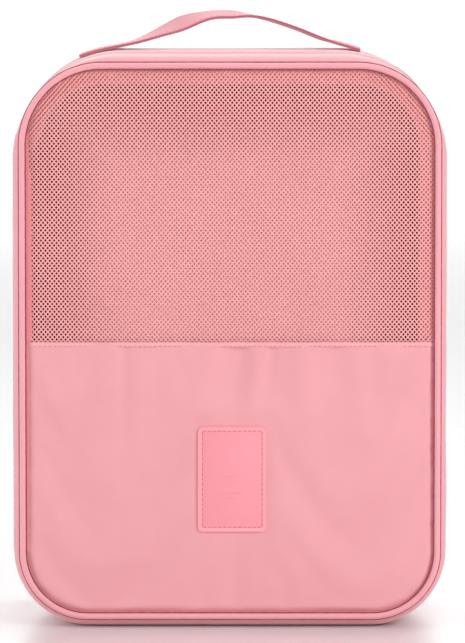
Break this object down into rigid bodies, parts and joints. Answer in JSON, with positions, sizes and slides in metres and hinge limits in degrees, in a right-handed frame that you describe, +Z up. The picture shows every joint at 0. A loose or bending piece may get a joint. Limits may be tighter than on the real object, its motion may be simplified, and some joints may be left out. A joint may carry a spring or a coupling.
{
  "type": "shoe bag",
  "caption": "Box-shaped travel shoe bag with a zip-round door front, mesh window, lower label patch, piped edges and a strap handle on top.",
  "frame": {"origin": "centre of the bag's footprint, on the surface it stands on", "axes": "+Z up towards the handle, -Y towards the mesh window, +X to the right seen from the front"},
  "size_m": [0.237, 0.1196, 0.3309],
  "materials": {
    "nylon": "plain-woven coated nylon, soft satin",
    "mesh": "knitted polyester mesh, matte",
    "piping": "bias tape over cord, satin",
    "leatherette": "smooth coated patch, low gloss",
    "lining": "thin plain-woven lining, matte",
    "foam": "open foam sheet",
    "webbing": "woven tape, matte",
    "zip_tape": "woven zip tape, matte",
    "coil": "nylon coil, satin",
    "metal": "pink enamelled metal, gloss"
  },
  "bodies": {
    "bag": {"back_foam": "foam", "back_lining": "lining", "back_panel": "nylon", "back_piping": "piping", "back_seam_binding": "webbing", "body_gusset": "nylon", "body_gusset_foam": "foam", "body_gusset_lining": "lining", "body_zip_coil": "coil", "body_zip_tape": "zip_tape", "handle_end_left": "webbing", "handle_end_right": "webbing", "handle_patch_left": "nylon", "handle_patch_right": "nylon", "hinge_leaf_body": "webbing"},
    "lid": {"lid_gusset": "nylon", "lid_gusset_foam": "foam", "lid_gusset_lining": "lining", "lid_piping": "piping", "lid_seam_binding": "webbing", "mesh_window": "mesh", "lower_panel": "nylon", "lower_panel_lining": "lining", "window_hem": "nylon", "label_patch": "leatherette", "lid_pocket_panel": "lining", "pocket_elastic": "webbing", "lid_zip_tape": "zip_tape", "lid_zip_coil": "coil", "hinge_leaf_lid": "webbing"},
    "handle": {"handle_backing": "webbing", "handle_strap": "webbing"},
    "slider_left": {"slider_left": "metal"},
    "slider_right": {"slider_right": "metal"},
    "pull_left": {"pull_link_left": "metal", "pull_tab_left": "leatherette"},
    "pull_right": {"pull_link_right": "metal", "pull_tab_right": "leatherette"}
  },
  "joints": [
    {"name": "lid_hinge", "type": "hinge", "parent": "bag", "child": "lid", "pos_m": [-0.1187, -0.02, 0.155], "axis": [0, 0, -1], "range_deg": [0, 175]},
    {"name": "handle_tilt", "type": "hinge", "parent": "bag", "child": "handle", "pos_m": [0, 0.0195, 0.315], "axis": [1, 0, 0], "range_deg": [-30, 30]},
    {"name": "slider_left_travel", "type": "slide", "parent": "bag", "child": "slider_left", "axis": [-1, 0, 0], "range_m": [0, 0.055]},
    {"name": "slider_right_travel", "type": "slide", "parent": "bag", "child": "slider_right", "axis": [1, 0, 0], "range_m": [0, 0.055]},
    {"name": "pull_left_swing", "type": "hinge", "parent": "slider_left", "child": "pull_left", "pos_m": [-0.006, -0.02, 0.3084], "axis": [0, 1, 0], "range_deg": [0, 90]},
    {"name": "pull_right_swing", "type": "hinge", "parent": "slider_right", "child": "pull_right", "pos_m": [0.006, -0.02, 0.3084], "axis": [0, -1, 0], "range_deg": [0, 90]}
  ]
}
